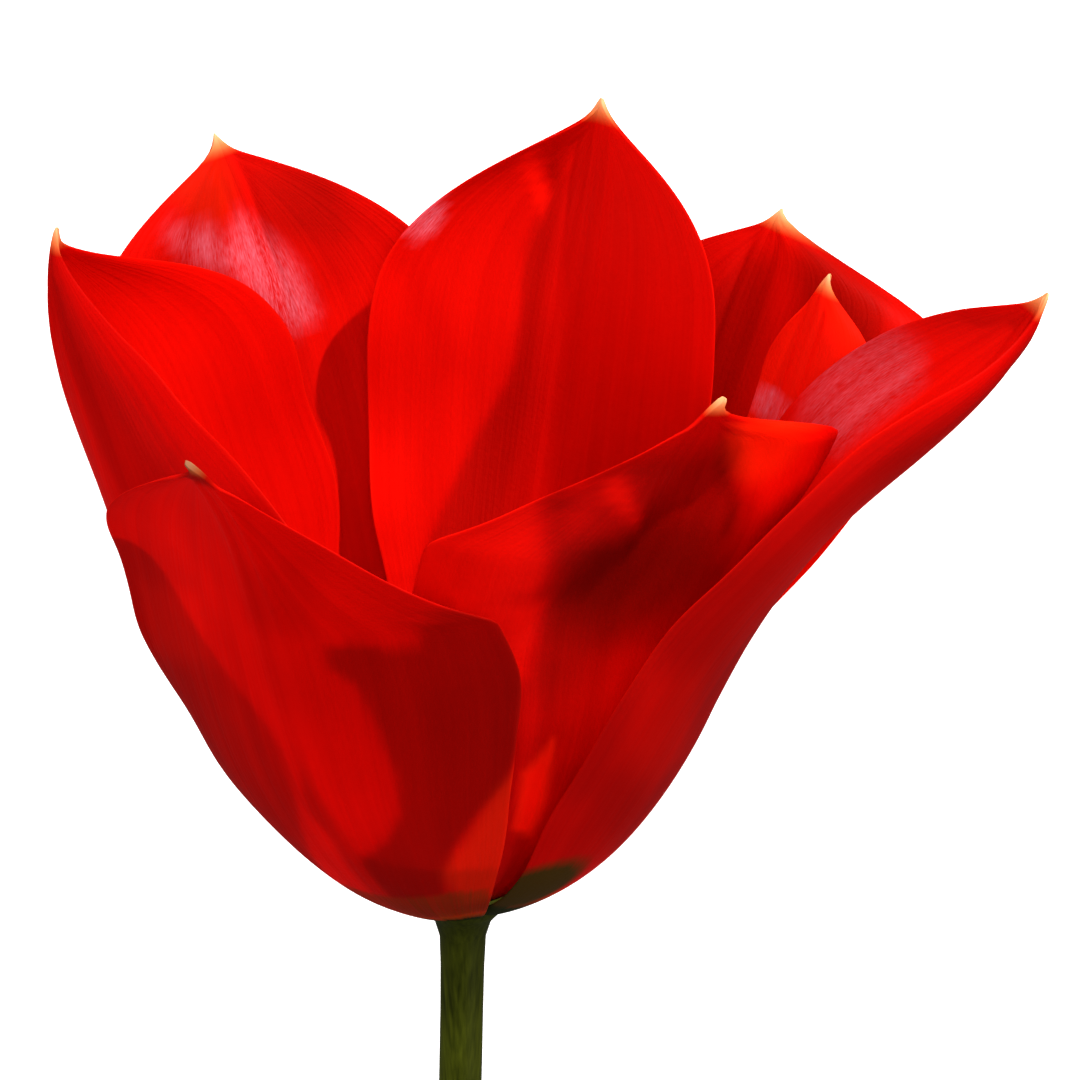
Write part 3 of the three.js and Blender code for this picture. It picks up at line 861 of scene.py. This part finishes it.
def lay_down(piece):
    """Turn a piece from the flower's own frame to where the flower lies."""
    piece.data.transform(LAID)
    piece.data.update()

# %% [markdown]
# ## The rings of the stem
# The stalk curves a little to one side on its way down, the cut end has a soft edge, and the seat
# swells out below the tepals and draws in again between their claws.

# %% Make the stem
STEM_LENGTH, STEM_RADIUS = 200, 2.6
STEM_SWAY, STEM_SWAY_POWER = -7, 1.3  # mm to the side at the cut, and how late it gets there
SEAT = ((-14, 2.6), (-8, 2.65), (-4, 2.8), (-1.6, 3.5), (-0.2, 4.7), (0.7, 5.3), (1.5, 5.25),
        (1.75, 4.1), (2.9, 4.05))  # height and radius, mm
STEM_RINGS, STEM_SIDES = 40, 28
CUT_BEVEL = 0.25  # mm, the soft edge of the cut


def sway(height):
    """How far to the side the stem's middle is at a height, mm."""
    share = min(max(height / -STEM_LENGTH, 0), 1)
    return STEM_SWAY * share ** STEM_SWAY_POWER


lowest = -STEM_LENGTH + CUT_BEVEL
shaft = [lowest + i * (SEAT[0][0] - lowest) / STEM_RINGS for i in range(STEM_RINGS)]
rings = [(sway(-STEM_LENGTH), -STEM_LENGTH, STEM_RADIUS - CUT_BEVEL)]
rings += [(sway(h), h, STEM_RADIUS) for h in shaft]
rings += [(sway(h), h, r) for h, r in SEAT]
stem = extruded("stem_stalk", rings, STEM_SIDES)
lay_down(stem)
print("stem has", len(rings), "rings")

# %% [markdown]
# ## Stalk skin
# The stalk is green tissue under a thin wax bloom: a deep olive green, paler in fine lengthwise
# lines, and darker right under the bloom as painted shade of the bloom. Wax makes the gloss broad
# and soft.

# %% Material: stalk skin
FIBRES = (2000, 33, 2000)  # lines 0.5 mm apart and 30 mm long; the stalk lies along Y
# painted shade: the stem darkens towards the bloom, which shadows it
DARK_FROM, DARK_TO = 34 * MM, 50 * MM  # along Y; the bloom begins at 52 mm


def stalk_skin(name="green stalk skin under a wax bloom"):
    """The material of the stem."""
    made, tree = start_material(name)
    place = add(tree, "ShaderNodeTexCoord").outputs["Object"]
    fibre = speckle(tree, place, FIBRES, 2)
    patchy = reckon(tree, "ADD", fibre, speckle(tree, place, 90, 3))
    green = mixed(tree, ranged(tree, patchy, 0.7, 1.3), "#1f2401", "#444a0a")
    _, height, _ = add(tree, "ShaderNodeSeparateXYZ", {"Vector": place}).outputs
    # painted shade of the bloom on the stem's top
    green = mixed(tree, ranged(tree, height, DARK_FROM, DARK_TO, 0, 0.7), green, "#161800")
    inputs = {"Height": fibre, "Strength": 0.3, "Distance": 0.2 * MM}
    bump = add(tree, "ShaderNodeBump", inputs).outputs["Normal"]
    surface = add(tree, "ShaderNodeBsdfPrincipled", {
        "Base Color": green, "Roughness": 0.6, "Normal": bump, "IOR": 1.42, "Specular IOR Level": 0.05})
    add(tree, "ShaderNodeOutputMaterial", {"Surface": surface.outputs[0]})
    return made


attach(stem, stalk_skin(), "stem", "stem")

# %% [markdown]
# ## Stamens
# Six stamens ring the pistil. Each is a pale, tapering filament with a long anther on top, split by a
# groove and dusty with pollen. One is extruded and shaped, then copied round the axis, each copy with
# its own mesh.

# %% Six stamens
# height, reach from the axis, half across and half deep, mm
FILAMENT = ((3.2, 3.0, 2.2, 0.85), (4.6, 3.1, 2.2, 0.85), (6.0, 3.7, 1.1, 0.8), (9, 4.8, 0.8, 0.65),
            (11.5, 5.6, 0.6, 0.55), (12.6, 5.85, 0.5, 0.45))
ANTHER = ((12.3, 5.8, 0.7, 0.6), (12.7, 5.85, 1.25, 1.0), (14, 6.1, 1.5, 1.25), (17, 6.6, 1.55, 1.25),
          (20, 7.1, 1.5, 1.25), (24.5, 7.9, 1.2, 1.0), (26.2, 8.15, 0.6, 0.55))
STAMENS = 6
GROOVE_WIDTH = 0.3  # mm


def shaped(name, profile, sides, groove=0.0):
    """An extruded body whose rings are ovals, with a groove down its outer side."""
    piece = extruded(name, [(reach, height, 1.0) for height, reach, _, _ in profile], sides)
    for vertex in piece.data.vertices:
        height, reach, wide, deep = min(profile, key=lambda row: abs(row[0] - vertex.co.z))
        x, y = vertex.co.x - reach, vertex.co.y
        dent = 1 - groove * math.exp(-(y / GROOVE_WIDTH) ** 2) * (1 if x > 0 else 0)
        vertex.co.x = reach + x * deep * dent
        vertex.co.y = y * wide
    return piece


def ring_of(piece, count):
    """Copies of a piece turned about the bloom's axis, joined to it."""
    copies = [piece]
    for i in range(1, count):
        copy = piece.copy()
        copy.data = piece.data.copy()
        bpy.context.scene.collection.objects.link(copy)
        copy.data.transform(Matrix.Rotation(math.tau * i / count, 4, "Z"))
        copies.append(copy)
    deselect()
    for copy in copies:
        copy.select_set(True)
    bpy.context.view_layer.objects.active = piece
    bpy.ops.object.join()
    lay_down(piece)


filaments = shaped("stamen_filaments", FILAMENT, 16)
finish_modifier(filaments, "SUBSURF", levels=1, render_levels=1)
ring_of(filaments, STAMENS)
anthers = shaped("stamen_anthers", ANTHER, 20, groove=0.35)
finish_modifier(anthers, "SUBSURF", levels=2, render_levels=2)
ring_of(anthers, STAMENS)

# %% [markdown]
# ## Filament, pollen and ovary
# Three small materials for the heart of the flower. A filament is pale and smooth. Pollen is a powder:
# no gloss at all, and a grain that breaks the light. The ovary is green and waxy. They differ only in
# two colours, roughness, grain and relief, so one function makes them.

# %% Materials: filament and pollen
def heart_finish(name, dark, light, roughness, grain_mm, relief):
    """A speckled finish: two screen colours, and a grain whose relief is up to 0.2 mm deep."""
    made, tree = start_material(name)
    place = add(tree, "ShaderNodeTexCoord").outputs["Object"]
    grain = speckle(tree, place, 1 / (grain_mm * MM), 3)
    colour = mixed(tree, ranged(tree, grain, 0.3, 0.7), dark, light)
    inputs = {"Height": grain, "Strength": relief, "Distance": 0.2 * MM}
    bump = add(tree, "ShaderNodeBump", inputs).outputs["Normal"]
    surface = add(tree, "ShaderNodeBsdfPrincipled", {
        "Base Color": colour, "Roughness": roughness, "Normal": bump, "IOR": 1.42})
    add(tree, "ShaderNodeOutputMaterial", {"Surface": surface.outputs[0]})
    return made


flesh = heart_finish("pale filament flesh", "#c9b45a", "#e6d88c", 0.45, 3.0, 0.1)
pollen = heart_finish("yellow pollen powder", "#b47f14", "#eec03c", 0.95, 0.45, 0.9)
attach(filaments, flesh, "stamen", "stamens")
attach(anthers, pollen, "stamen", "stamens")

# %% [markdown]
# ## Pistil
# The ovary is a green column with three soft ridges, and its stigma spreads in three lobes. The rings
# are extruded round, and then each vertex moves out or in with the cosine of three times its angle.

# %% Ovary and stigma
LOBES = 3
# height, radius, and how deep the lobes are as a share of it
PISTIL = ((3.25, 1.5, 0), (4.8, 1.6, 0), (7, 2.4, 0.04), (10, 2.8, 0.07), (14, 2.8, 0.08),
          (17.5, 2.4, 0.1), (19, 2.3, 0.15), (20.2, 3.2, 0.3), (21.2, 3.5, 0.34), (22, 3.0, 0.3))


def lobed(name, profile, sides):
    """An extruded body whose rings swell into lobes."""
    piece = extruded(name, [(0, height, radius) for height, radius, _ in profile], sides)
    for vertex in piece.data.vertices:
        ridge = min(profile, key=lambda row: abs(row[0] - vertex.co.z))[2]
        factor = 1 + ridge * math.cos(LOBES * math.atan2(vertex.co.y, vertex.co.x))
        vertex.co.x *= factor
        vertex.co.y *= factor
    finish_modifier(piece, "SUBSURF", levels=1, render_levels=1)
    lay_down(piece)
    return piece


pistil = lobed("pistil_column", PISTIL, 36)
ovary_skin = heart_finish("waxy green ovary skin", "#7f9438", "#b9c56c", 0.5, 2.0, 0.2)
attach(pistil, ovary_skin, "pistil", "pistil")

# %% [markdown]
# ## Studio: floor and surround
# The photo shows the bloom cut out on white. A pale floor stands for the white and a bright soft
# surround fills the shade. The floor glows a little by itself, so it has no dark shadow that the photo
# lacks, and the flower doesn't pick up that glow.

# %% Floor and surround
FLOOR_SIZE = 6  # m
FLOOR_GLOW, SURROUND_LIGHT = 0.75, 0.3  # strengths of the emission and of the background

deselect()
bpy.ops.mesh.primitive_plane_add(size=FLOOR_SIZE, location=(0, 0, 0))
floor = bpy.context.object
floor.name = "floor"
paper = bpy.data.materials.new("matt white paper")
paper.use_nodes = True
sheet = paper.node_tree.nodes["Principled BSDF"].inputs
sheet["Base Color"].default_value = linear("#f7f7f6")
sheet["Roughness"].default_value = 0.9
sheet["Emission Color"].default_value = linear("#ffffff")
sheet["Emission Strength"].default_value = FLOOR_GLOW
floor.data.materials.append(paper)
floor.visible_diffuse = floor.visible_glossy = floor.visible_transmission = False

scene = bpy.context.scene
scene.view_settings.view_transform = "Standard"
surround = bpy.data.worlds.new("soft surround")
surround.use_nodes = True
surround.node_tree.nodes["Background"].inputs["Color"].default_value = linear("#ffffff")
surround.node_tree.nodes["Background"].inputs["Strength"].default_value = SURROUND_LIGHT
scene.world = surround
print("floor is", FLOOR_SIZE, "m wide")

# %% [markdown]
# ## Studio: lamps
# In the photo the sun stands behind the bloom, to the right, and shines through the tepals. The key is
# a small lamp, so that one tepal's shadow on another has an edge. Three broad weak cards in front, on
# the left and low on the right do what the surroundings did: they keep the shaded faces red. A lamp
# overhead would flatten the bloom and put no light behind its tepals.

# %% Lamps
BLOOM_MIDDLE = (5, 0, 50)  # mm, what the lamps are turned to


def lamp(name, towards, distance, size, power, colour):
    """A round lamp that shines from a direction in the flower's own frame; m and W."""
    light = bpy.data.objects.new(name, bpy.data.lights.new(name, "AREA"))
    bpy.context.scene.collection.objects.link(light)
    light.data.shape, light.data.size = "DISK", size
    light.data.energy, light.data.color = power, colour
    direction = (turn.to_3x3() @ Vector(towards)).normalized()
    facing = direction.to_track_quat("Z", "Y").to_matrix().to_4x4()
    light.matrix_world = Matrix.Translation(LAID @ Vector(BLOOM_MIDDLE) + direction * distance) @ facing
    print(name, "stands", round(light.location.z, 3), "m above the floor")


lamp("key", (0.48, -0.12, 0.87), 1.1, 0.03, 30.5, (1.0, 0.96, 0.9))
lamp("front_card", (0.0, -0.9, 0.4), 1.0, 0.5, 6.2, (1.0, 0.98, 0.97))
lamp("left_card", (-0.9, -0.3, 0.2), 1.0, 0.3, 4.2, (1.0, 0.98, 0.97))
lamp("low_right_card", (0.75, -0.5, -0.45), 1.0, 0.3, 4.0, (1.0, 0.97, 0.95))
